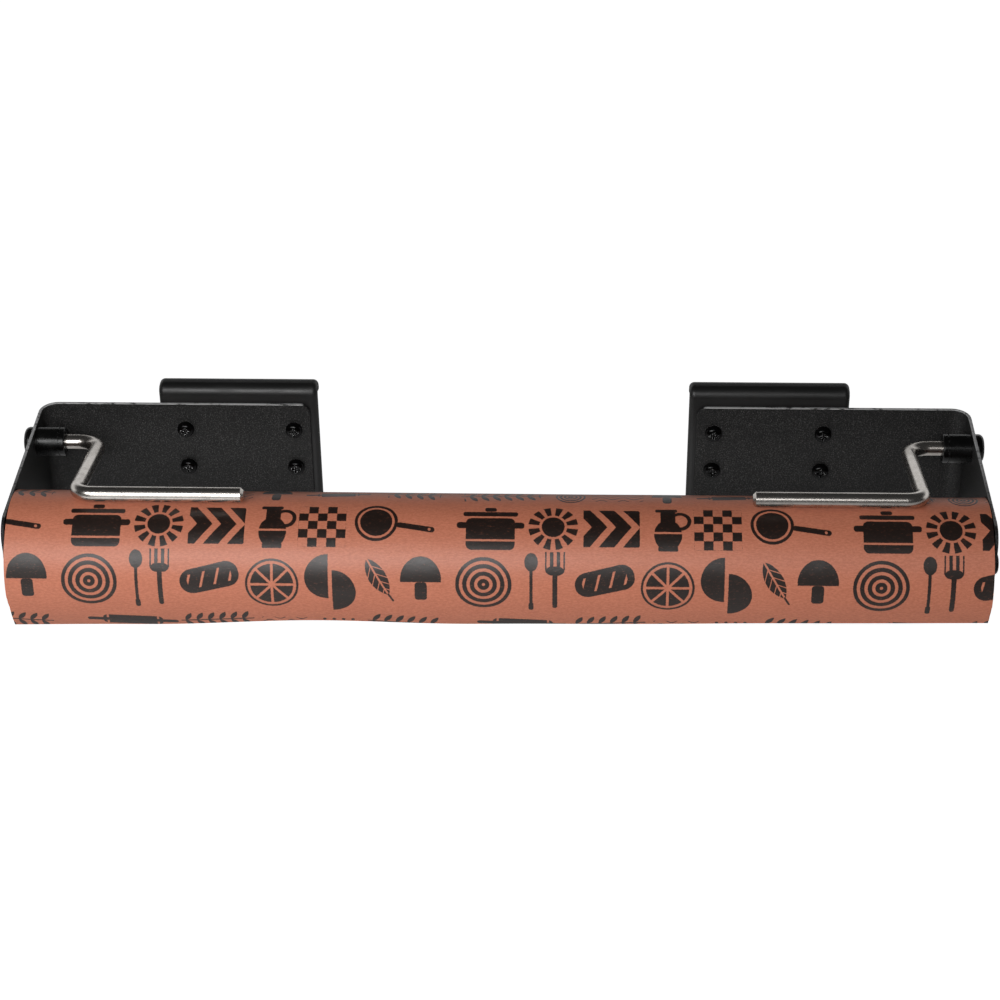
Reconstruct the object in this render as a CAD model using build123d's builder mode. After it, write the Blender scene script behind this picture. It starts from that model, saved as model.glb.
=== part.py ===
from build123d import *
from math import acos, atan2, degrees, hypot, sqrt
import os

# Paper roll stand: two mirrored steel brackets hang on a rail by hooks and hold a roll of paper
# between them, and a bent rod on each bracket lies on top of the roll.
# Millimetres. X runs along the roll, Y towards the wall, Z up. The origin is midway between the
# two hooks, on the line where they sit on the top edge of the rail.

# Rail hook
hook_width = 79.2
hook_height = 66.5
hook_thickness = 3.4
hook_slot = 5.0
hook_lip = 8.4
hook_bend_radius = 5.0
hook_corner_radius = 3.0
hook_edge_radius = 2.6
hook_inner_edge = 0.4
hook_rise = 9.2
hook_overhang = 4.0

# Bracket, bent from one sheet
sheet = 1.5
plate_width = 134.1
plate_height = 55.5
plate_corner_radius = 5.0
bracket_bend_radius = 9.0
flange_past_axis = 19.0
flange_corner_radius = 10.0
edge_break = 0.35

# Screws through the bracket into the hook
screw_pitch_x = 54.4
screw_pitch_z = 21.9
screw_drop = 25.4
screw_diameter = 4.0
screw_head_diameter = 8.3
screw_head_height = 3.2
recess_width = 1.0
recess_length = 4.4
recess_depth = 1.3

# Paper roll on its core
paper_width = 457.2
wound_depth = 9.5
core_bore = 38.0
core_wall = 2.5
roll_end_gap = 0.4
roll_ahead = 89.3
roll_drop = 29.5

# Hub that carries the core
hub_length = 24.0
hub_nose = 3.0
hub_clearance = 0.3
hub_screw_diameter = 6.0
hub_screw_length = 20.0
hub_screw_head_diameter = 11.0
hub_screw_head_height = 3.4
hub_washer_diameter = 16.0
washer_thickness = 1.0

# Swing arm and its pivot
rod_diameter = 7.2
rod_chamfer = 1.3
arm_bend_radius = 8.0
arm_shoulder_radius = 11.0
arm_reach = 70.4
arm_grip = 79.2
arm_neck = 17.3
arm_rest_gap = 0.3
pivot_ahead = 22.3
pivot_drop = 8.4
bushing_length = 14.2
bushing_wall = 3.5
bushing_edge = 0.8
bushing_mouth = 0.6
bushing_collar = 2.6
bushing_groove = 0.5
spigot_wall = 1.4
cap_wall = 3.5
cap_height = 3.4
cap_floor = 1.4

# Fits
running_fit = 0.05
thread_fit = 0.05
seat_fit = 0.05
end_play = 0.1

# Places that follow from the sizes above
hook_front = -hook_slot / 2 - hook_thickness
hook_back = hook_slot / 2 + hook_thickness
hook_top = hook_thickness
plate_face = hook_front - sheet
plate_top = hook_top - hook_rise
plate_bottom = plate_top - plate_height
flange_inner = paper_width / 2 + roll_end_gap
flange_outer = flange_inner + sheet
plate_end = flange_outer - plate_width
hook_end = plate_end - hook_overhang
hook_middle = hook_end + hook_width / 2
roll_y = plate_face - roll_ahead
roll_z = plate_top - roll_drop
flange_front = roll_y - flange_past_axis
pivot_y = plate_face - pivot_ahead
pivot_z = plate_top - pivot_drop

core_radius = core_bore / 2 + core_wall
paper_radius = core_radius + wound_depth
hub_radius = core_bore / 2 - hub_clearance
rod_radius = rod_diameter / 2
bush_bore_radius = rod_radius + running_fit
bushing_radius = bush_bore_radius + bushing_wall
spigot_radius = bush_bore_radius + spigot_wall
cap_radius = rod_radius + cap_wall
bushing_end = flange_inner - bushing_length
arm_x = bushing_end - arm_neck

# The arm lies on the roll: its axis line stays this far from the roll's axis
rest_radius = paper_radius + arm_rest_gap + rod_radius
pivot_distance = hypot(pivot_y - roll_y, pivot_z - roll_z)
tangent_reach = sqrt(pivot_distance**2 - rest_radius**2)
contact_reach = min(arm_reach, tangent_reach)
contact_cosine = (pivot_distance**2 + contact_reach**2 - rest_radius**2) / (2 * pivot_distance * contact_reach)
arm_rise = degrees(acos(contact_cosine) - atan2(pivot_z - roll_z, pivot_y - roll_y))

# Planes of the right-hand pieces
screw_plane = Plane(
    origin=(hook_middle, plate_face, plate_top - screw_drop), x_dir=(1, 0, 0), z_dir=(0, -1, 0)
)
pivot_inside = Plane(origin=(flange_inner, pivot_y, pivot_z), x_dir=(0, 1, 0), z_dir=(-1, 0, 0))
pivot_outside = Plane(origin=(flange_outer, pivot_y, pivot_z), x_dir=(0, 1, 0), z_dir=(1, 0, 0))
hub_inside = Plane(origin=(flange_inner, roll_y, roll_z), x_dir=(0, 1, 0), z_dir=(-1, 0, 0))
hub_outside = Plane(origin=(flange_outer, roll_y, roll_z), x_dir=(0, 1, 0), z_dir=(1, 0, 0))
arm_plane = Plane(origin=(0, pivot_y, pivot_z), x_dir=(1, 0, 0), z_dir=(0, 0, 1)).rotated((-arm_rise, 0, 0))


# Bent sheet: the back plate, the bend and the side flange, then its corners and holes
with BuildPart() as bracket:
    with BuildSketch(Plane.XY.offset(plate_bottom)):
        with BuildLine():
            outside = FilletPolyline(
                (plate_end, hook_front), (flange_outer, hook_front), (flange_outer, flange_front),
                radius=bracket_bend_radius,
            )
            inside = FilletPolyline(
                (plate_end, plate_face), (flange_inner, plate_face), (flange_inner, flange_front),
                radius=bracket_bend_radius - sheet,
            )
            Line(outside @ 0, inside @ 0)
            Line(outside @ 1, inside @ 1)
        make_face()
    extrude(amount=plate_height)
    plate_corners = bracket.edges().filter_by(Axis.Y).group_by(Axis.X)[0]
    flange_corners = bracket.edges().filter_by(Axis.X).group_by(Axis.Y)[0]
    fillet(plate_corners, plate_corner_radius)
    fillet(flange_corners, flange_corner_radius)
    bend_lines = bracket.edges().filter_by(lambda edge: abs(edge.length - plate_height) < 0.01)
    thickness_lines = bracket.edges().filter_by(lambda edge: abs(edge.length - sheet) < 0.01)
    fillet(bracket.edges() - bend_lines - thickness_lines, edge_break)
    with Locations(screw_plane):
        with GridLocations(screw_pitch_x, screw_pitch_z, 2, 2):
            Hole(screw_diameter / 2 + thread_fit, depth=sheet)
    with Locations(pivot_outside):
        Hole(spigot_radius + seat_fit, depth=sheet)
    with Locations(hub_outside):
        Hole(hub_screw_diameter / 2 + thread_fit, depth=sheet)

# Hook plate behind the bracket, its web over the rail and its lip behind the rail
with BuildPart() as hook:
    with BuildSketch(Plane.YZ.offset(hook_end)):
        with BuildLine():
            over = FilletPolyline(
                (hook_front, hook_top - hook_height), (hook_front, hook_top),
                (hook_back, hook_top), (hook_back, hook_top - hook_lip),
                radius=hook_bend_radius,
            )
            under = FilletPolyline(
                (hook_front + hook_thickness, hook_top - hook_height), (hook_front + hook_thickness, 0),
                (hook_back - hook_thickness, 0), (hook_back - hook_thickness, hook_top - hook_lip),
                radius=hook_bend_radius - hook_thickness,
            )
            Line(over @ 0, under @ 0)
            Line(over @ 1, under @ 1)
        make_face()
    extrude(amount=hook_width)
    lower_corners = hook.edges().filter_by(Axis.Y).group_by(Axis.Z)[0]
    lip_corners = hook.edges().filter_by(Axis.Y).sort_by(Axis.Y)[-2:]
    fillet(lower_corners + lip_corners, hook_corner_radius)
    end_edges = hook.faces().sort_by(Axis.X)[0].edges() + hook.faces().sort_by(Axis.X)[-1].edges()
    outer_edges = end_edges.filter_by(
        lambda edge: (edge @ 0.5).Y < hook_front + 0.01 or (edge @ 0.5).Y > hook_back - 0.01 or (edge @ 0.5).Z > 0.01
    )
    fillet(outer_edges, hook_edge_radius)
    inner_ends = hook.faces().sort_by(Axis.X)[0].edges() + hook.faces().sort_by(Axis.X)[-1].edges()
    inner_edges = inner_ends.filter_by(
        lambda edge: abs((edge @ 0.5).Y) < hook_slot / 2 + 0.01 and (edge @ 0.5).Z < 0.01
    )
    fillet(inner_edges, hook_inner_edge)
    with Locations(screw_plane.offset(-sheet)):
        with GridLocations(screw_pitch_x, screw_pitch_z, 2, 2):
            Hole(screw_diameter / 2 + thread_fit, depth=hook_thickness)

# Four screws with domed heads and a cross recess
with BuildPart() as hook_screws:
    with BuildSketch(screw_plane):
        with GridLocations(screw_pitch_x, screw_pitch_z, 2, 2):
            Circle(screw_head_diameter / 2)
    extrude(amount=screw_head_height)
    rims = hook_screws.edges().group_by(Axis.Y)[0]
    fillet(rims, screw_head_height * 0.7)
    with BuildSketch(screw_plane):
        with GridLocations(screw_pitch_x, screw_pitch_z, 2, 2):
            Circle(screw_diameter / 2)
    extrude(amount=-(sheet + hook_thickness - end_play))
    with BuildSketch(screw_plane.offset(screw_head_height)):
        with GridLocations(screw_pitch_x, screw_pitch_z, 2, 2):
            Rectangle(recess_length, recess_width)
            Rectangle(recess_width, recess_length)
    extrude(amount=-recess_depth, mode=Mode.SUBTRACT)

# Plastic bushing inside the flange, with a spigot through it
with BuildPart() as bushing:
    with BuildSketch(pivot_inside):
        Circle(bushing_radius)
    extrude(amount=bushing_length)
    fillet(bushing.edges().group_by(Axis.X)[0], bushing_edge)
    with BuildSketch(pivot_inside.offset(bushing_length - bushing_collar)):
        Circle(bushing_radius)
        Circle(bushing_radius - bushing_groove, mode=Mode.SUBTRACT)
    extrude(amount=-bushing_groove, mode=Mode.SUBTRACT)
    with BuildSketch(pivot_inside):
        Circle(spigot_radius)
    extrude(amount=-(sheet - end_play))
    with Locations(pivot_inside.offset(bushing_length)):
        CounterSinkHole(bush_bore_radius, bush_bore_radius + bushing_mouth, counter_sink_angle=90)

# Bent round rod: through the bushing, forward and up to the roll, then along it
with BuildPart() as arm:
    rod_start = flange_outer + washer_thickness + cap_height - cap_floor - end_play
    with BuildLine(arm_plane) as arm_line:
        FilletPolyline(
            (rod_start, 0), (arm_x, 0), (arm_x, -arm_reach), (arm_x - arm_grip, -arm_reach),
            radius=(arm_shoulder_radius, arm_bend_radius),
        )
    with BuildSketch(pivot_outside.offset(rod_start - flange_outer)):
        Circle(rod_radius)
    sweep(path=arm_line.wires()[0])
    chamfer(arm.edges().group_by(Axis.X)[0], rod_chamfer)

# Thin washer and domed cap that keep the rod in its bushing
with BuildPart() as pivot_washer:
    with BuildSketch(pivot_outside):
        Circle(cap_radius)
        Circle(rod_radius + running_fit, mode=Mode.SUBTRACT)
    extrude(amount=washer_thickness)

with BuildPart() as pivot_cap:
    with BuildSketch(pivot_outside.offset(washer_thickness)):
        Circle(cap_radius)
    extrude(amount=cap_height)
    fillet(pivot_cap.edges().group_by(Axis.X)[-1], cap_height * 0.75)
    with BuildSketch(pivot_outside.offset(washer_thickness)):
        Circle(rod_radius + seat_fit)
    extrude(amount=cap_height - cap_floor, mode=Mode.SUBTRACT)

# Hub that the end of the core turns on, its screw and washer
with BuildPart() as hub:
    with BuildSketch(hub_inside):
        Circle(hub_radius)
    extrude(amount=hub_length)
    chamfer(hub.edges().group_by(Axis.X)[0], hub_nose)
    with Locations(hub_inside.offset(hub_length)):
        Hole(hub_screw_diameter / 2 + thread_fit, depth=hub_length)

with BuildPart() as hub_washer:
    with BuildSketch(hub_outside):
        Circle(hub_washer_diameter / 2)
        Circle(hub_screw_diameter / 2 + thread_fit, mode=Mode.SUBTRACT)
    extrude(amount=washer_thickness)

with BuildPart() as hub_screw:
    with BuildSketch(hub_outside.offset(washer_thickness)):
        Circle(hub_screw_head_diameter / 2)
    extrude(amount=hub_screw_head_height)
    fillet(hub_screw.edges().group_by(Axis.X)[-1], hub_screw_head_height * 0.6)
    with BuildSketch(hub_outside.offset(washer_thickness)):
        Circle(hub_screw_diameter / 2)
    extrude(amount=-hub_screw_length)
    with BuildSketch(hub_outside.offset(washer_thickness + hub_screw_head_height)):
        Rectangle(recess_length, recess_width)
        Rectangle(recess_width, recess_length)
    extrude(amount=-recess_depth, mode=Mode.SUBTRACT)

# Core tube and the paper wound on it
roll_plane = Plane(origin=(-paper_width / 2, roll_y, roll_z), x_dir=(0, 1, 0), z_dir=(1, 0, 0))
with BuildPart() as roll_core:
    with BuildSketch(roll_plane):
        Circle(core_radius)
        Circle(core_bore / 2, mode=Mode.SUBTRACT)
    extrude(amount=paper_width)

with BuildPart() as paper_roll:
    with BuildSketch(roll_plane):
        Circle(paper_radius)
        Circle(core_radius, mode=Mode.SUBTRACT)
    extrude(amount=paper_width)

# Each bracket's pieces are made on the right and mirrored to the left
side_pieces = {
    "bracket": bracket, "hook": hook, "hook_screws": hook_screws, "bushing": bushing, "arm": arm,
    "pivot_washer": pivot_washer, "pivot_cap": pivot_cap, "hub": hub, "hub_washer": hub_washer,
    "hub_screw": hub_screw,
}
os.makedirs("parts", exist_ok=True)
for name, piece in side_pieces.items():
    with BuildPart() as mirrored:
        mirror(piece.part, about=Plane.YZ)
    piece.part.label = "right_" + name
    mirrored.part.label = "left_" + name
    export_step(piece.part, f"parts/right_{name}.step")
    export_step(mirrored.part, f"parts/left_{name}.step")
for name, piece in {"roll_core": roll_core, "paper_roll": paper_roll}.items():
    piece.part.label = name
    export_step(piece.part, f"parts/{name}.step")

print("roll diameter", 2 * paper_radius, "arm rise", round(arm_rise, 2))
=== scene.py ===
import random
from math import cos, pi, radians, sin

import bmesh
import bpy
from mathutils import Matrix, Vector


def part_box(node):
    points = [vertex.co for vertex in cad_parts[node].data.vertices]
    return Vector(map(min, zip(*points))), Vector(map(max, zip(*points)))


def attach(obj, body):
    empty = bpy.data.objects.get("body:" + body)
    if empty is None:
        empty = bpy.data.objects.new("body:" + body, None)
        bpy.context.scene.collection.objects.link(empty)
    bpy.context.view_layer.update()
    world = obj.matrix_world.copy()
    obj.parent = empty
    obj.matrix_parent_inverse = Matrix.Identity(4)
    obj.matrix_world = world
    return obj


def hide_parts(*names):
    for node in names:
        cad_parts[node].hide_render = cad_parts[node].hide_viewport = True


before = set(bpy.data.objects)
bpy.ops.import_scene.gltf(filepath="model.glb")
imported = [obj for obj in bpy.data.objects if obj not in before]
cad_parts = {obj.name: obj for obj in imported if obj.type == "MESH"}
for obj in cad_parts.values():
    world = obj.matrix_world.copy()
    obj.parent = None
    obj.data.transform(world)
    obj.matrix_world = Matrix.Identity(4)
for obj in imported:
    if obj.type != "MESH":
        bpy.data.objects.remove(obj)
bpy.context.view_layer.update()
scene = bpy.context.scene
scene.view_settings.view_transform = "Standard"
print("frame loaded:", len(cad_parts), "nodes")


view = {
    "lens": 88.997,                     # mm, on a 36 mm sensor
    "elevation": 33.757,                # degrees above the level
    "turn": -1.943,                     # degrees, looking a little to the left
    "tilt": -0.587,                     # degrees, the camera leans a little to its right
    "distance": 1.16943,                # metres from the roll's axis
    "lift": 0.02772,                    # camera raised, so the roll sits below the middle
    "aside": 0.00079,                   # where it looks, right of the middle
    "clip": (0.01, 100),
}

rollLow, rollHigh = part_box("paper_roll")
axis = (rollLow + rollHigh) / 2         # middle of the roll's axis
rollRadius = (rollHigh.z - rollLow.z) / 2
halfWidth = (rollHigh.x - rollLow.x) / 2


def makeCamera():
    down, turn, tilt = (radians(view[name]) for name in ("elevation", "turn", "tilt"))
    ahead = Vector((sin(turn) * cos(down), cos(turn) * cos(down), -sin(down)))
    level = Vector((cos(turn), -sin(turn), 0))
    above = level.cross(ahead)
    right = level * cos(tilt) + above * sin(tilt)
    top = above * cos(tilt) - level * sin(tilt)
    target = Vector((view["aside"], axis.y, axis.z))
    place = target - ahead * view["distance"] + top * view["lift"]
    camera = bpy.data.objects.new("camera", bpy.data.cameras.new("camera"))
    scene.collection.objects.link(camera)
    camera.data.lens = view["lens"]
    camera.data.clip_start, camera.data.clip_end = view["clip"]
    facing = Matrix((right, top, -ahead)).transposed()
    camera.matrix_world = Matrix.Translation(place) @ facing.to_4x4()
    scene.camera = camera


makeCamera()
print("camera placed")


class Wire:                             # a node's output that Python's operators work on
    def __init__(self, finish, socket):
        self.finish, self.socket = finish, socket

    def maths(self, operation, *values):
        return self.finish.add("ShaderNodeMath", {"operation": operation}, dict(enumerate(values)))

    def __add__(self, other):
        return self.maths("ADD", self, other)

    def __sub__(self, other):
        return self.maths("SUBTRACT", self, other)

    def __rsub__(self, other):
        return self.maths("SUBTRACT", other, self)

    def __neg__(self):
        return 0 - self

    def __mul__(self, other):
        return self.maths("MULTIPLY", self, other)

    def __truediv__(self, other):
        return self.maths("DIVIDE", self, other)

    def __mod__(self, other):
        return self.maths("FLOORED_MODULO", self, other)

    def __abs__(self):
        return self.maths("ABSOLUTE", self)

    __radd__, __rmul__ = __add__, __mul__

    def atMost(self, other):
        return self.maths("MINIMUM", self, other)

    def atLeast(self, other):
        return self.maths("MAXIMUM", self, other)

    def sine(self):
        return self.maths("SINE", self)

    def sign(self):
        return self.maths("SIGN", self)

    def angle(self, other):             # radians, 0 where this is 0 and the other is above 0
        return self.maths("ARCTAN2", self, other)

    def ramp(self, low, high):          # 0 at low, 1 at high, smooth between
        settings = {"interpolation_type": "SMOOTHSTEP"}
        return self.finish.add("ShaderNodeMapRange", settings, {0: self, 1: low, 2: high})


class Nodes:                            # a node tree
    def __init__(self, tree):
        self.tree = tree

    def add(self, kind, settings=(), sockets=(), output=0):
        node = self.tree.nodes.new(kind)
        for name, value in dict(settings).items():
            setattr(node, name, value)
        for key, value in dict(sockets).items():
            self.connect(node, key, value)
        return Wire(self, node.outputs[output])

    def connect(self, node, key, value):
        if isinstance(value, Wire):
            self.tree.links.new(value.socket, node.inputs[key])
        else:
            node.inputs[key].default_value = value

    def place(self):                    # metres, in the piece's own frame
        return self.add("ShaderNodeTexCoord", output="Object")

    def seen(self, mirrored):           # 1 to the camera, the mirrored share to glossy rays, else 0
        camera = self.add("ShaderNodeLightPath", output="Is Camera Ray")
        glossy = self.add("ShaderNodeLightPath", output="Is Glossy Ray")
        return camera.atLeast(glossy * mirrored)

    def split(self, vector):
        node = self.add("ShaderNodeSeparateXYZ", (), {0: vector}).socket.node
        return [Wire(self, out) for out in node.outputs]

    def join(self, x, y, z=0.0):
        return self.add("ShaderNodeCombineXYZ", (), {0: x, 1: y, 2: z})

    def length(self, vector):
        return self.add("ShaderNodeVectorMath", {"operation": "LENGTH"}, {0: vector}, "Value")

    def dot(self, one, other):
        return self.add("ShaderNodeVectorMath", {"operation": "DOT_PRODUCT"}, {0: one, 1: other}, "Value")

    def stretch(self, vector, sizes):   # one feature per so many metres along x, y and z
        return self.add("ShaderNodeVectorMath", {"operation": "DIVIDE"}, {0: vector, 1: sizes})

    def noise(self, vector, size, detail=2.0, roughness=0.5):
        sizes = size if isinstance(size, tuple) else (size, size, size)
        return self.add("ShaderNodeTexNoise", (), {
            "Vector": self.stretch(vector, sizes), "Scale": 1.0, "Detail": detail, "Roughness": roughness,
        })

    def blend(self, factor, first, second):
        return self.add("ShaderNodeMix", {"data_type": "RGBA"}, {0: factor, 6: first, 7: second}, 2)


class Finish(Nodes):                    # one material and its Principled shader
    def __init__(self, name, **constants):
        self.material = bpy.data.materials.new(name)
        self.material.use_nodes = True
        super().__init__(self.material.node_tree)
        self.shader = self.tree.nodes["Principled BSDF"]
        for socket, value in constants.items():
            self.shader.inputs[socket.replace("_", " ")].default_value = value

    def feed(self, **wires):            # what changes over the surface
        for socket, value in wires.items():
            self.connect(self.shader, socket.replace("_", " "), value)

    def normal(self):
        return self.add("ShaderNodeNewGeometry", output="Normal")

    def edge(self, radius):             # 1 on sharp edges, 0 on flats
        rounded = self.add("ShaderNodeBevel", {"samples": 4}, {"Radius": radius})
        return (1 - self.dot(rounded, self.normal())).ramp(0.01, 0.2)

    def bump(self, height, depth):
        bumped = self.add("ShaderNodeBump", (), {"Strength": 1.0, "Distance": depth, "Height": height})
        self.feed(Normal=bumped)


def grey(level, warm=0.0):
    return (level * (1 + warm), level, level * (1 - warm), 1)


coat = {
    "specular": 0.3, "roughness": 0.46, "depth": 0.00016,
    "shade": 0.004, "fleck": 0.088, "worn": 0.06, "rubbedRimAndHighlight": 0.40,          # greys, the last one a rubbed cut edge with a painted highlight on it
    "grain": 0.0005, "patch": 0.012, "scuff": 0.004, "corner": 0.0006,  # sizes in metres
    "chip": (0.006, 0.002, 0.002),
    "fleckBand": (0.49, 0.74),          # of the grain, where its flecks start and are full
    "rimHighlightDown": (0.0005, 0.0002),        # below the top edge, where the rubbed edge with its painted highlight starts and is full
    "rimHighlightAlong": (-0.085, -0.045),       # y on the flange, where the painted highlight on the top edge is faint and where it is full
    "rimHighlightFaint": 0.3,
}


def texturedCoat():                     # fine-textured powder coat, with a painted highlight along its top edge
    finish = Finish("texturedCoat", Specular_IOR_Level=coat["specular"])
    at = finish.place()
    back, high = finish.split(at)[1:]
    grains = finish.noise(at, coat["grain"], 3.0, 0.6)
    patches = finish.noise(at, coat["patch"], 3.0)
    rub = finish.edge(coat["corner"]) * finish.noise(at, coat["scuff"], 4.0, 0.7).ramp(0.45, 0.62)
    flecks = grains.ramp(*coat["fleckBand"]) * (0.5 + patches * 0.8)
    ground = finish.blend(flecks, grey(coat["shade"]), grey(coat["fleck"], 0.02))
    ground = finish.blend(rub, ground, grey(coat["worn"], 0.03))
    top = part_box("left_bracket")[1].z
    start, full = (top - down for down in coat["rimHighlightDown"])
    chips = finish.noise(at, coat["chip"], 4.0, 0.7).ramp(0.34, 0.48)
    faint = coat["rimHighlightFaint"]
    # the top edge painted pale: a rubbed cut edge with a painted highlight, fainter towards the front of the
    # flange
    rubbedRimAndHighlight = high.ramp(start, full) * chips * (faint + back.ramp(*coat["rimHighlightAlong"]) * (1 - faint))
    finish.feed(
        Base_Color=finish.blend(rubbedRimAndHighlight, ground, grey(coat["rubbedRimAndHighlight"])),
        Roughness=coat["roughness"] + grains * 0.16 - rub * 0.2,
    )
    finish.bump(grains, coat["depth"])
    return finish.material


satin = {
    "specular": 0.4, "roughness": 0.4, "depth": 0.00002,
    "shade": 0.008, "worn": 0.05,
    "ripple": 0.0022, "smear": (0.02, 0.006, 0.02), "scuff": 0.003, "corner": 0.0005,
}


def satinCoat():                        # smooth black coat of the hooks
    finish = Finish("satinCoat", Specular_IOR_Level=satin["specular"])
    at = finish.place()
    smears = finish.noise(at, satin["smear"], 4.0, 0.65)
    rub = finish.edge(satin["corner"]) * finish.noise(at, satin["scuff"], 4.0, 0.7).ramp(0.5, 0.64)
    finish.feed(
        Base_Color=finish.blend(rub, grey(satin["shade"]), grey(satin["worn"], 0.04)),
        Roughness=satin["roughness"] + smears.ramp(0.4, 0.7) * 0.1,
    )
    finish.bump(finish.noise(at, satin["ripple"], 2.0), satin["depth"])
    return finish.material


screw = {
    "specular": 0.13, "roughness": 0.1, "depth": 0.00002,
    "shade": 0.0015, "bare": 0.8,       # the coat, and the metal where it is gone
    "pit": 0.0006, "scuff": 0.0007, "corner": 0.00025,
}


def glossScrew():                       # black oxide screws, lightly oiled
    finish = Finish("glossScrew", Specular_IOR_Level=screw["specular"])
    at = finish.place()
    pits = finish.noise(at, screw["pit"], 3.0, 0.6)
    rub = finish.edge(screw["corner"]) * finish.noise(at, screw["scuff"], 3.0).ramp(0.5, 0.6)
    finish.feed(
        Base_Color=finish.blend(rub, grey(screw["shade"]), grey(screw["bare"])),
        Metallic=rub,
        Roughness=screw["roughness"] + pits.ramp(0.45, 0.7) * 0.08,
    )
    finish.bump(pits, screw["depth"])
    return finish.material


plastic = {
    "specular": 0.3, "roughness": 0.2, "depth": 0.00003,
    "low": 0.001, "high": 0.004, "worn": 0.05,
    "skin": 0.0004, "cloud": 0.005, "scuff": 0.002, "corner": 0.0004,
}


def blackPlastic():                     # moulded nylon
    finish = Finish("blackPlastic", Specular_IOR_Level=plastic["specular"])
    at = finish.place()
    cloud = finish.noise(at, plastic["cloud"], 3.0)
    rub = finish.edge(plastic["corner"]) * finish.noise(at, plastic["scuff"], 3.0).ramp(0.5, 0.65)
    ground = finish.blend(cloud, grey(plastic["low"]), grey(plastic["high"]))
    finish.feed(
        Base_Color=finish.blend(rub, ground, grey(plastic["worn"])),
        Roughness=plastic["roughness"] + cloud.ramp(0.35, 0.7) * 0.12,
    )
    finish.bump(finish.noise(at, plastic["skin"], 3.0, 0.55), plastic["depth"])
    return finish.material


zinc = {
    "bright": (0.55, 0.56, 0.57, 1), "dull": (0.36, 0.36, 0.35, 1), "roughness": 0.25,
    "spot": 0.0015, "ring": (0.01, 0.0003, 0.0003), "depth": 0.00001,
}


def zincWasher():                       # bright zinc, fine turned rings and dull spots
    finish = Finish("zincWasher", Metallic=1.0)
    at = finish.place()
    spots = finish.noise(at, zinc["spot"], 4.0, 0.6)
    finish.feed(
        Base_Color=finish.blend(spots.ramp(0.35, 0.7), zinc["bright"], zinc["dull"]),
        Roughness=zinc["roughness"] + spots.ramp(0.4, 0.7) * 0.25,
    )
    finish.bump(finish.noise(at, zinc["ring"], 2.0), zinc["depth"])
    return finish.material


rod = {
    "bright": (0.56, 0.527, 0.494, 1), "dull": (0.44, 0.41, 0.38, 1), "roughness": 0.24,
    "neck": 0.1975,                     # x of the slanting part, each side of the middle
    "neckHalf": (0.0036, 0.006),        # how far from there the lines along it are whole, and gone
    "line": (0.0009, 0.03),             # width and length of the drawn lines
    "mottle": 0.006, "depth": 0.0000025,
}


def steelRod():                         # drawn stainless rod, fine lines along it
    finish = Finish("steelRod", Metallic=1.0)
    at = finish.place()
    neck = 1 - abs(abs(finish.split(at)[0]) - rod["neck"]).ramp(*rod["neckHalf"])
    thin, long = rod["line"]
    along = finish.noise(at, (long, thin, thin), 2.0)
    down = finish.noise(at, (thin, long, thin), 2.0)
    lines = along * (1 - neck) + down * neck
    mottle = finish.noise(at, rod["mottle"], 4.0, 0.6)
    finish.feed(
        Base_Color=finish.blend(mottle.ramp(0.35, 0.75), rod["bright"], rod["dull"]),
        Roughness=rod["roughness"] + lines * 0.03 + mottle.ramp(0.4, 0.8) * 0.04,
    )
    finish.bump(lines, rod["depth"])
    return finish.material


board = {
    "dark": (0.24, 0.165, 0.105, 1), "pale": (0.40, 0.30, 0.205, 1), "seam": (0.12, 0.08, 0.05, 1),
    "roughness": 0.85, "specular": 0.25, "depth": 0.00008,
    "strip": 0.06,                      # along the tube, from one turn of the seam to the next
    "fibre": (0.0012, 0.0004, 0.0004),
}


def coreBoard():                        # grey-brown tube wound from strips
    finish = Finish("coreBoard", Roughness=board["roughness"], Specular_IOR_Level=board["specular"])
    at = finish.place()
    x, y, z = finish.split(at)
    turn = (z - axis.z).angle(y - axis.y) / (2 * pi)
    seam = abs((x / board["strip"] + turn) % 1.0 - 0.5).ramp(0.488, 0.498)
    fibres = finish.noise(at, board["fibre"], 4.0, 0.65)
    ground = finish.blend(fibres, board["dark"], board["pale"])
    finish.feed(Base_Color=finish.blend(seam, ground, board["seam"]))
    finish.bump(fibres - seam * 2, board["depth"])
    return finish.material


tile = {                                # mm, one repeat of the print
    "width": 183.0, "height": 97.39,
    "start": 18.0,                      # how far down it the top of the roll is
    "aside": 22.0,                      # how far across it the middle of the roll is
}


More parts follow.
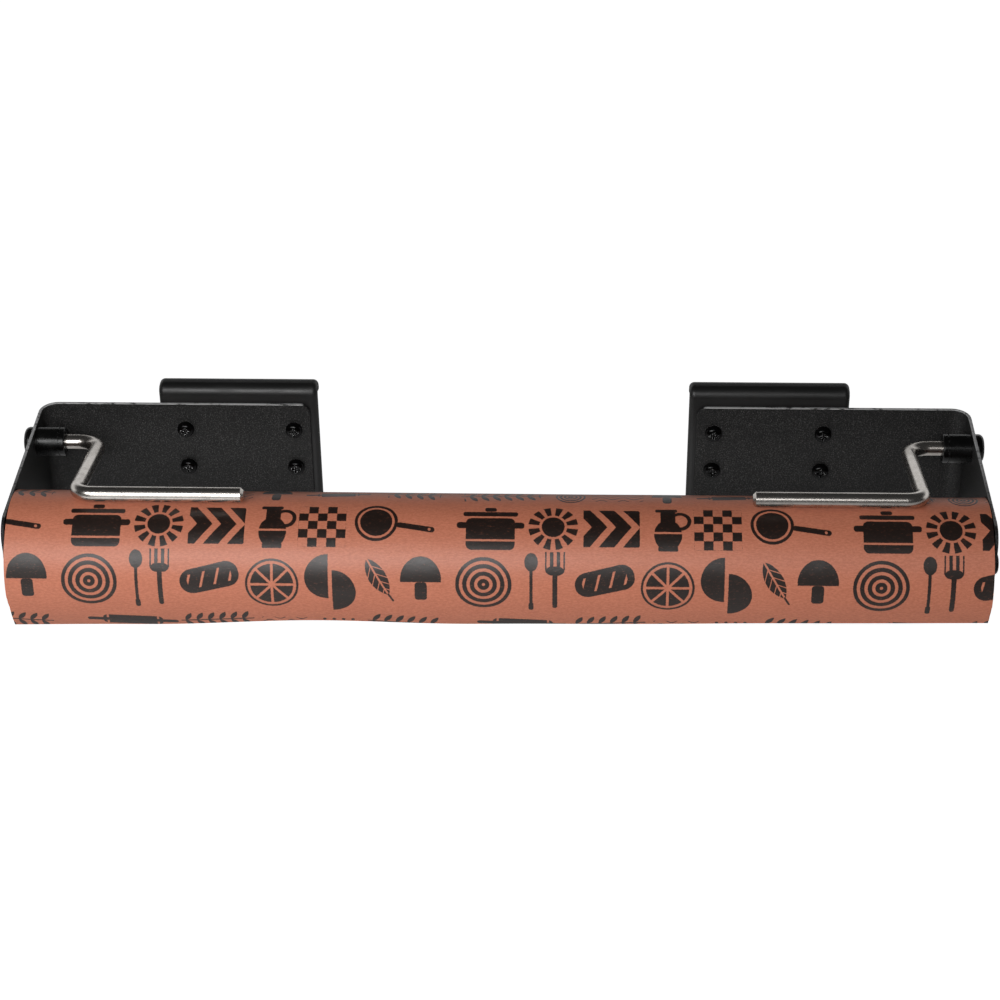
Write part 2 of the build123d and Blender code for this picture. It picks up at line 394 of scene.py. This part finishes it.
class Print:                            # a shape is a distance in mm, below 0 inside it
    def __init__(self, finish, across, down):
        self.finish = finish
        self.point = finish.join(across % tile["width"], down % tile["height"])
        self.found = None

    def local(self, x, y, turn=0):      # across and down from a shape's own middle
        spot = self.finish.add("ShaderNodeMapping", {"vector_type": "TEXTURE"}, {
            0: self.point, 1: (x, y, 0), 2: (0, 0, radians(turn)),
        })
        return self.finish.split(spot)[:2]

    def ink(self, shape):
        self.found = shape if self.found is None else self.found.atMost(shape)

    def far(self, a, b):
        return self.finish.length(self.finish.join(a, b))

    def slab(self, a, b, long, wide, corner=0):
        if not corner:
            return (abs(a) - long).atLeast(abs(b) - wide)
        past, beyond = abs(a) - (long - corner), abs(b) - (wide - corner)
        return self.far(past.atLeast(0.0), beyond.atLeast(0.0)) - corner

    def stick(self, a, b, begin, end, radius):
        return self.far(a - a.atLeast(begin).atMost(end), b) - radius

    def leaf(self, a, b, half, width):
        bow = (half * half - width * width) / (2 * width)
        return self.far(a, abs(b) + bow) - (bow + width)

    def onion(self, x, y, radius):                    # slice with rings
        far = self.far(*self.local(x, y))
        rings = abs(far % (radius * 0.27) - radius * 0.135) - radius * 0.078
        self.ink((far - radius).atLeast(rings))

    def lemon(self, x, y, radius):                    # slice with eight parts
        a, b = self.local(x, y)
        far = self.far(a, b)
        part = abs((b.angle(a) * (4 / pi)) % 1.0 - 0.5) * far * (pi / 4)
        wedge = (0.62 - (far * (pi / 8) - part)).atLeast(far - radius * 0.8).atLeast(radius * 0.12 - far)
        self.ink(wedge.atMost(abs(far - radius * 0.95) - 0.55))

    def chevrons(self, x, y, half, wide):
        a, b = self.local(x, y)
        step = (a + abs(b) * 0.8) % (wide * 0.56) - wide * 0.28
        self.ink((abs(step) - wide * 0.18).atLeast(abs(a) - half).atLeast(abs(b) - wide * 0.5))

    def halves(self, x, y, radius):                   # two half discs, set apart
        a, b = self.local(x, y)
        side, gap = a.sign(), 0.9
        disc = self.far(a - side * gap, b - side * radius * 0.34) - radius
        self.ink(disc.atLeast(gap - abs(a)))

    def spoon(self, x, y, long, turn):
        a, b = self.local(x, y, turn)
        bowl = self.far((a + long * 0.5) * 0.72, b) - long * 0.145
        grip = self.stick(a, b, -long * 0.4, long * 0.62, long * 0.035)
        knob = self.stick(a, b, long * 0.5, long * 0.62, long * 0.055)
        self.ink(bowl.atMost(grip).atMost(knob))

    def fork(self, x, y, long, turn):
        a, b = self.local(x, y, turn)
        half, gap = 4.6, 3.1                          # of its head, and between tines
        tines = (abs(b % gap - gap / 2) - 0.8).atLeast(self.slab(a + long * 0.48, b, long * 0.2, half))
        root = self.slab(a + long * 0.27, b, long * 0.1, half, 3.2)
        grip = self.stick(a, b, -long * 0.3, long * 0.6, 1.15)
        self.ink(tines.atMost(root).atMost(grip))

    def pin(self, x, y, long, turn):                  # rolling pin
        a, b = self.local(x, y, turn)
        barrel = self.slab(a, b, long * 0.5, long * 0.125, 2.4)
        grip = self.stick(a, b, -long * 0.72, long * 0.72, long * 0.042)
        groove = abs(abs(a) - long * 0.42) - 0.5
        self.ink(barrel.atLeast(-groove).atMost(grip))

    def sprig(self, x, y, long, turn):
        a, b = self.local(x, y, turn)
        leafLong, pace, lean = 6.6, 5.4, -58
        stem = self.stick(a, b, -long * 0.5, long * 0.5, 0.4)
        inside = self.finish.join(a % pace - pace * 0.5, abs(b) - leafLong * 0.42)
        leaning = self.finish.add("ShaderNodeVectorRotate", {"rotation_type": "Z_AXIS"}, {
            "Vector": inside, "Angle": radians(lean),
        })
        p, q = self.finish.split(leaning)[:2]
        leaves = self.leaf(p, q, leafLong * 0.5, leafLong * 0.19)
        self.ink(stem.atMost(leaves.atLeast(abs(a) - long * 0.47)))

    def bay(self, x, y, half, turn):                  # broad leaf with its veins left bare
        a, b = self.local(x, y, turn)
        veins = abs((a - abs(b) * 1.1) % 4.2 - 2.1) - 0.28
        bare = veins.atMost(abs(b) - 0.42)
        self.ink(self.leaf(a, b, half, half * 0.4).atLeast(-bare))
        self.ink(self.stick(a, b, half * 0.95, half * 1.35, 0.5))

    def mushroom(self, x, y, radius):
        a, b = self.local(x, y)
        cap = (self.far(a, b * 0.86) - radius).atLeast(b - radius * 0.12)
        stalk = self.slab(a, b - radius * 0.62, radius * 0.3, radius * 0.5, 1.5)
        self.ink(cap.atMost(stalk))

    def steam(self, x, y, half):                      # three thin waves
        a, b = self.local(x, y)
        lines = abs((b + (a * 0.62).sine() * 1.3) % 3.6 - 1.8) - 0.3
        self.ink(lines.atLeast(self.slab(a, b, half, 5.4)))

    def dots(self, x, y):
        a, b = self.local(x, y)
        pace = 4.4
        dot = self.far(a % pace - pace / 2, b % pace - pace / 2) - 0.85
        self.ink(dot.atLeast(self.slab(a, b, pace * 2, pace)))

    def pot(self, x, y, size):
        a, b = self.local(x, y)
        body = self.slab(a, b - size * 0.17, size * 0.42, size * 0.3, size * 0.1)
        lid = self.slab(a, b + size * 0.22, size * 0.47, size * 0.05, size * 0.04)
        knob = self.slab(a, b + size * 0.33, size * 0.1, size * 0.05, size * 0.04)
        ears = self.slab(a, b - size * 0.02, size * 0.58, size * 0.06, size * 0.05)
        stripe = abs(b - size * 0.3) - 0.5
        self.ink(body.atLeast(-stripe).atMost(lid).atMost(knob).atMost(ears))

    def sunburst(self, x, y, radius):
        a, b = self.local(x, y)
        far = self.far(a, b)
        part = abs((b.angle(a) * (6 / pi)) % 1.0 - 0.5) * (pi / 6)
        rays = ((part - 0.15) * far).atLeast(far - radius).atLeast(radius * 0.56 - far)
        self.ink(rays.atMost(far - radius * 0.46))

    def jug(self, x, y, tall):
        a, b = self.local(x, y)
        belly = self.far(a, (b - tall * 0.16) * 0.82) - tall * 0.28
        neck = self.slab(a, b + tall * 0.24, tall * 0.15, tall * 0.2, 0.5)
        base = self.slab(a, b - tall * 0.46, tall * 0.2, tall * 0.05, 0.6)
        lip = self.slab(a + tall * 0.03, b + tall * 0.44, tall * 0.22, tall * 0.045, 0.8)
        grip = abs(self.far(a - tall * 0.24, b + tall * 0.16) - tall * 0.19) - tall * 0.04
        band = abs(b - tall * 0.12) - 0.5
        self.ink(belly.atMost(neck).atLeast(-band).atMost(base).atMost(lip).atMost(grip))

    def checks(self, x, y, half, side):
        a, b = self.local(x, y)
        p = abs(a % (side * 2) - side) - side * 0.5
        q = abs(b % (side * 2) - side) - side * 0.5
        self.ink(p.atMost(q).atLeast(-p.atLeast(q)).atLeast(self.slab(a, b, half, half)))

    def pan(self, x, y, radius, turn):
        a, b = self.local(x, y, turn)
        far = self.far(a, b)
        dish = (far - radius).atLeast(0.55 - abs(far - radius * 0.8))
        grip = self.slab(a - radius * 1.85, b, radius * 0.9, radius * 0.14, radius * 0.13)
        eye = self.far(a - radius * 2.5, b) - 0.7
        self.ink(dish.atMost(grip.atLeast(-eye)))

    def loaf(self, x, y, half, turn):                 # with cuts in its crust
        a, b = self.local(x, y, turn)
        crust = self.slab(a, b, half, half * 0.44, half * 0.42)
        cuts = (abs((a + b * 0.5) % (half * 0.5) - half * 0.25) - 0.6).atLeast(abs(b) - half * 0.26)
        self.ink(crust.atLeast(-cuts.atLeast(abs(a) - half * 0.75)))


def drawPrint(sheet):                   # mm across and down from the tile's corner, size, turn
    sheet.pot(19, 31, 27)
    sheet.sunburst(48, 32, 11.5)
    sheet.chevrons(75, 32, 13, 20)
    sheet.jug(101, 32, 23)
    sheet.checks(124, 32, 11, 4.4)
    sheet.pan(149, 30, 10, 9)
    sheet.onion(16, 60, 13)
    sheet.spoon(38, 60, 21.5, 90)
    sheet.fork(49, 59, 21.5, 90)
    sheet.loaf(72, 58, 14, -14)
    sheet.lemon(101, 61, 12.5)
    sheet.halves(128, 61, 11)
    sheet.bay(150, 57, 10.5, 60)
    sheet.mushroom(170, 58, 9.5)
    sheet.pin(34, 85, 28, 3)
    sheet.sprig(74, 84, 34, -4)
    sheet.steam(106, 87, 11)
    sheet.dots(131, 85)
    sheet.sprig(162, 85, 34, 5)
    sheet.sprig(24, 9, 38, -3)
    sheet.onion(56, 9, 7)
    sheet.steam(78, 9, 12)
    sheet.mushroom(101, 8, 7)
    sheet.pin(130, 9, 20, -4)
    sheet.sprig(166, 8, 26, 5)


stock = {                               # the paper itself
    "ground": (0.455, 0.143, 0.079, 1), "pale": (0.615, 0.218, 0.129, 1), "fleck": (0.28, 0.10, 0.07, 1),
    "cutDark": (0.40, 0.135, 0.085, 1), "cutPale": (0.62, 0.24, 0.16, 1),
    "ink": (0.014, 0.0075, 0.0055, 1),
    "specular": 0.45, "roughness": 0.42, "depth": 0.00012,
    "fibre": (0.0016, 0.0007, 0.0007), "cloud": 0.016, "speck": 0.0006, "ragged": 0.0009,
    "layer": (0.4, 0.0003, 0.0003),
    "skinIn": (0.0009, 0.0007),         # below the surface, where the print is gone and where it is whole
    "endIn": (0.0002, 0.0),             # from the cut ends, where it is whole and where it is gone
    "flapIn": (0.0006, 0.0005),         # the same on the free end
}


def pinkPaper():
    finish = Finish("pinkPaper", Specular_IOR_Level=stock["specular"])
    at = finish.place()
    x, y, z = finish.split(at)
    back, up = y - axis.y, z - axis.z
    outwards = finish.join(0.0, back, up)
    around = (-back).angle(up)                         # 0 at the top, grows towards the front
    sheet = Print(finish, x * 1000 + tile["aside"], around * (rollRadius * 1000) + tile["start"])
    drawPrint(sheet)
    ragged = finish.noise(at, stock["ragged"], 3.0, 0.6)
    mask = 1 - (sheet.found + (ragged - 0.5) * 0.5).ramp(-0.12, 0.12)
    outward = finish.dot(finish.normal(), outwards).ramp(-0.002, 0.002)       # the paper's inside is bare
    skin = finish.length(outwards).ramp(*(rollRadius - deep for deep in stock["skinIn"]))
    skin = skin * (1 - abs(x).ramp(*(halfWidth - deep for deep in stock["endIn"])))
    skin = skin.atLeast(1 - abs(x).ramp(*(halfWidth - deep for deep in stock["flapIn"])))
    fibres = finish.noise(at, stock["fibre"], 4.0, 0.65)
    cloud = finish.noise(at, stock["cloud"], 4.0, 0.6)
    specks = finish.noise(at, stock["speck"], 2.0).ramp(0.66, 0.76)
    ground = finish.blend(fibres.ramp(0.3, 0.72) * 0.7 + cloud * 0.3, stock["ground"], stock["pale"])
    ground = finish.blend(specks * 0.35, ground, stock["fleck"])
    ends = finish.blend(finish.noise(at, stock["layer"], 3.0, 0.7), stock["cutDark"], stock["cutPale"])
    faded = fibres.ramp(0.55, 0.8) * 0.22
    printed = finish.blend(mask * outward * (1 - faded), ground, stock["ink"])
    finish.feed(
        Base_Color=finish.blend(skin, ends, printed),
        Roughness=stock["roughness"] + fibres * 0.12 - mask * 0.08,
    )
    finish.bump(fibres * 0.6 + cloud * 3.0, stock["depth"])
    return finish.material


roll = {
    "pitch": 0.00025,                   # one layer as drawn
    "turns": 38,
    "columns": 180,                     # round the roll
    "rows": 130,                        # along it
    "inset": 0.0006,                    # where they start, from the cut ends
    "leaves": 187,                      # degrees from the wall side, over the top, where the free end leaves
    "groove": 0.00022,
    "ripple": 0.0003,                   # the cut edges wander this much
    "nicks": 6,                         # so many times a turn
    "slack": 0.00088,                   # most of a soft unevenness, always inwards
    "slackFades": 0.004,                # towards the cut ends
    "settled": 0.0032,                  # the windings lie this much flatter underneath
    "flatFrom": -75, "flatFades": 50,   # degrees, where that is whole, and over how many it comes
    "flatEnds": 42,                     # and goes again before the free end
    "crease": 35,                       # degrees, sharper edges are drawn sharp
    "weld": 1e-6,                       # points nearer than this become one
}
freeEnd = {
    "bend": 0.055,                      # it bends less than the roll does
    "left": 0.0208, "right": 0.0106,    # its length at the two ends, cut on a slant
    "dip": (-0.085, 0.08, 0.0035),      # where its edge is cut shorter, how far to each side, and how much
    "steps": 14,
}


def softWave(seed, count):              # a smooth closed curve through random values, 0 to 1
    draw = random.Random(seed)
    waves = [(draw.uniform(0.4, 1), n, draw.uniform(0, 2 * pi)) for n in range(1, count)]
    total = sum(wave[0] for wave in waves)
    return lambda share: 0.5 + sum(h * sin(2 * pi * n * share + s) for h, n, s in waves) / (2 * total)


def ease(share):                        # 0 to 1, smooth at both ends
    share = min(1, max(0, share))
    return share * share * (3 - 2 * share)


def woundPaper():
    pitch, turns, columns = roll["pitch"], roll["turns"], roll["columns"]
    draw = random.Random(3)
    steps = [draw.random() for i in range((turns + 2) * roll["nicks"])]
    inner = rollRadius - turns * pitch
    wander = [softWave(seed, 7) for seed in (11, 12, 13)]
    mesh = bmesh.new()

    def point(x, radius, share):        # share is how far round from the free end
        turned = roll["leaves"] - 360 * share
        low = ease((turned + 360 - roll["leaves"]) / roll["flatEnds"])
        low *= 1 - ease((turned - roll["flatFrom"]) / roll["flatFades"])
        radius -= roll["settled"] * low * ((radius - inner) / (rollRadius - inner)) ** 2
        angle = radians(turned)
        return mesh.verts.new((x, axis.y + radius * cos(angle), axis.z + radius * sin(angle)))

    def layerEdge(coil):                # how far the cut edge of the paper stands back there
        at = max(coil, 0) * roll["nicks"]
        low = int(at)
        return steps[low] + (steps[low + 1] - steps[low]) * (at - low)

    def endRings(side):                 # each layer's edge and the groove beside it
        rings = []
        for i in range(2 * (turns - 1) + 1):
            ring = []
            for j in range(columns + 1):
                share = j / columns
                coil = i / 2 + 1 - share
                back = roll["ripple"] * layerEdge(coil) + (roll["groove"] if i % 2 else 0)
                ring.append(point(side * (halfWidth - back), inner + pitch * coil, share))
            rings.append(ring)
        return rings

    def skinRow(x):                     # once round the outside
        ring = []
        for j in range(columns + 1):
            share = j / columns
            sag = wander[0](x * 2.3 + share * 0.6) * wander[1](share + x * 1.1) * wander[2](x * 0.9 - share)
            fade = min(1, (halfWidth - abs(x)) / roll["slackFades"], 6 * share, 6 * (1 - share))
            ring.append(point(x, rollRadius - pitch * share - roll["slack"] * sag * fade, share))
        return ring

    def joinRings(one, other, closed):
        for k in range(len(one) - 1):
            mesh.faces.new((one[k], one[k + 1], other[k + 1], other[k]))
        if closed:
            mesh.faces.new((one[-1], one[0], other[0], other[-1]))

    def freeRow(x, ring):               # outside and inside of the free end, from the roll downwards
        middle, reach, cut = freeEnd["dip"]
        across = (x + halfWidth) / (2 * halfWidth)
        length = freeEnd["left"] + (freeEnd["right"] - freeEnd["left"]) * across
        length -= cut * (0.5 + 0.5 * cos(pi * min(1, abs(x - middle) / reach)))
        step = length / freeEnd["steps"]
        bend = freeEnd["bend"] * (0.85 + 0.3 * wander[1](x * 1.7))
        heading = radians(roll["leaves"] - 180)
        y, z = ring[0].co.y, ring[0].co.z
        outside, inside = [ring[0]], [ring[-1]]
        for k in range(freeEnd["steps"]):
            heading += step / bend
            y += step * sin(heading)
            z -= step * cos(heading)
            outside.append(mesh.verts.new((x, y, z)))
            inside.append(mesh.verts.new((x, y + pitch * cos(heading), z + pitch * sin(heading))))
        return outside + inside[::-1]

    left, right = endRings(-1), endRings(1)
    for rings in (left, right):
        for one, other in zip(rings, rings[1:]):
            joinRings(one, other, False)
        mesh.faces.new((rings[0][-1], rings[1][-1], rings[0][0]))       # where the spiral starts and ends
        mesh.faces.new((rings[-1][-1], rings[-2][0], rings[-1][0]))
    inset = roll["inset"]
    count, span = roll["rows"], 2 * (halfWidth - inset)
    places = [-halfWidth + inset + span * k / count for k in range(count + 1)]
    rows = [skinRow(x) for x in places]
    for one, other in zip(rows, rows[1:]):
        joinRings(one, other, False)
    for end, row in ((left[-1], rows[0]), (right[-1], rows[-1])):
        joinRings(end, row, True)
    joinRings(right[0], left[0], True)  # the bore
    flaps = [freeRow(x, row) for x, row in zip(places, rows)]
    for one, other in zip(flaps, flaps[1:]):
        joinRings(one, other, False)
    for flap in (flaps[0], flaps[-1]):
        for k in range(freeEnd["steps"]):
            mesh.faces.new((flap[k], flap[k + 1], flap[-k - 2], flap[-k - 1]))
    bmesh.ops.remove_doubles(mesh, verts=mesh.verts, dist=roll["weld"])
    bmesh.ops.dissolve_degenerate(mesh, dist=roll["weld"] / 10, edges=mesh.edges)
    bmesh.ops.recalc_face_normals(mesh, faces=mesh.faces)
    for line in mesh.edges:
        if not line.is_manifold:
            raise SystemExit("the paper has an open edge")
        line.smooth = line.calc_face_angle() < radians(roll["crease"])
    data = bpy.data.meshes.new("paperRoll")
    mesh.to_mesh(data)
    mesh.free()
    for face in data.polygons:
        face.use_smooth = True
    piece = bpy.data.objects.new("paperRoll", data)
    scene.collection.objects.link(piece)
    return piece


paper = woundPaper()
paper.data.materials.append(pinkPaper())
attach(paper, "roll")
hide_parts("paper_roll")
print("paper wound and printed:", len(paper.data.polygons), "faces")


made = {
    "textured": texturedCoat(), "satin": satinCoat(), "screw": glossScrew(), "plastic": blackPlastic(),
    "zinc": zincWasher(), "steel": steelRod(), "board": coreBoard(),
}
worn = {
    "bracket": "textured", "hook": "satin", "arm": "steel", "roll_core": "board",
    "hook_screws": "screw", "hub_screw": "screw", "hub_washer": "zinc",
    "bushing": "plastic", "hub": "plastic", "pivot_washer": "plastic", "pivot_cap": "plastic",
}
for name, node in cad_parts.items():
    kind = name.split("_", 1)[1] if name.startswith(("left_", "right_")) else name
    if kind in worn:
        for held in node.material_slots:
            held.material = made[worn[kind]]
print("finishes given")


studio = {
    "floor": -0.62,                     # height, well below the hanging object
    "reach": 9,                         # from its middle to its sides
    "shade": 0.75, "roughness": 0.9,
    "lift": 0.95,                       # white that the camera sees in the floor
    "farLift": 0.2, "far": (1.2, 3.0),  # and more of it far away
    "mirrored": 0.3,                    # the share of it that shiny surfaces see
    "dark": 0.04,                       # the room above and in front
    "backdrop": 0.9,                    # as bright as this in gloss
    "backdropSide": (-0.1, 0.2),        # towards the wall, where it starts and where it is whole
    "backdropTop": 0.44,                # sine of its height seen from the object
    "backdropFades": 0.14,              # below its top
}
lamps = {                               # place, aim, size, watts
    "key": ((-0.36, -0.86, 0.54), (-0.08, -0.09, -0.03), (0.8, 0.34), 5.2),
    "upper": ((-0.06, -1.35, 0.92), (0, -0.09, -0.03), (1.0, 0.3), 2.7),
    "front": ((-0.385, -1.45, 0.33), (-0.15, -0.09, -0.03), (0.4, 0.85), 1.8),
    "card": ((-0.44, -0.8, -0.62), (-0.12, -0.03, -0.03), (1.0, 0.6), 2.2),
    "side": ((-0.14, -0.62, 0.27), (-0.15, 0, -0.01), (0.2, 0.2), 0.9),
}


def makeWorld():                        # backdrop for the camera and for gloss, darker room for the rest
    world = bpy.data.worlds.new("studio")
    scene.world = world
    world.use_nodes = True
    sky = Nodes(world.node_tree)
    back, high = sky.split(sky.add("ShaderNodeTexCoord", output="Generated"))[1:]
    top, dark = studio["backdropTop"], studio["dark"]
    backdrop = back.ramp(*studio["backdropSide"]) * (1 - high.ramp(top - studio["backdropFades"], top))
    room = dark + backdrop * studio["backdrop"] * sky.seen(1.0) * (1 - dark)
    camera = sky.add("ShaderNodeLightPath", output="Is Camera Ray")
    background = sky.tree.nodes["Background"]
    sky.connect(background, "Strength", room.atLeast(camera))
    sky.connect(background, "Color", grey(1))


def makeFloor():
    mesh = bmesh.new()
    reach = studio["reach"]
    corners = [(-reach, -reach), (reach, -reach), (reach, reach), (-reach, reach)]
    mesh.faces.new([mesh.verts.new((x, y, studio["floor"])) for x, y in corners])
    data = bpy.data.meshes.new("floor")
    mesh.to_mesh(data)
    mesh.free()
    floor = bpy.data.objects.new("floor", data)
    scene.collection.objects.link(floor)
    paint = Finish("floor", Roughness=studio["roughness"], Specular_IOR_Level=0.0, Emission_Strength=1.0)
    away = paint.length(paint.place()).ramp(*studio["far"])
    lift = (studio["lift"] + away * studio["farLift"]) * paint.seen(studio["mirrored"])
    paint.feed(Base_Color=grey(studio["shade"]), Emission_Color=paint.blend(lift, grey(0), grey(1)))
    floor.data.materials.append(paint.material)


def makeLamps():
    for name, (place, aim, size, watts) in lamps.items():
        lamp = bpy.data.lights.new(name, "AREA")
        lamp.shape = "RECTANGLE"
        lamp.size, lamp.size_y = size
        lamp.energy = watts
        holder = bpy.data.objects.new(name, lamp)
        holder.visible_camera = False
        holder.location = place
        holder.rotation_euler = (Vector(aim) - Vector(place)).to_track_quat("-Z", "Y").to_euler()
        scene.collection.objects.link(holder)


makeWorld()
makeFloor()
makeLamps()
print("studio lit")
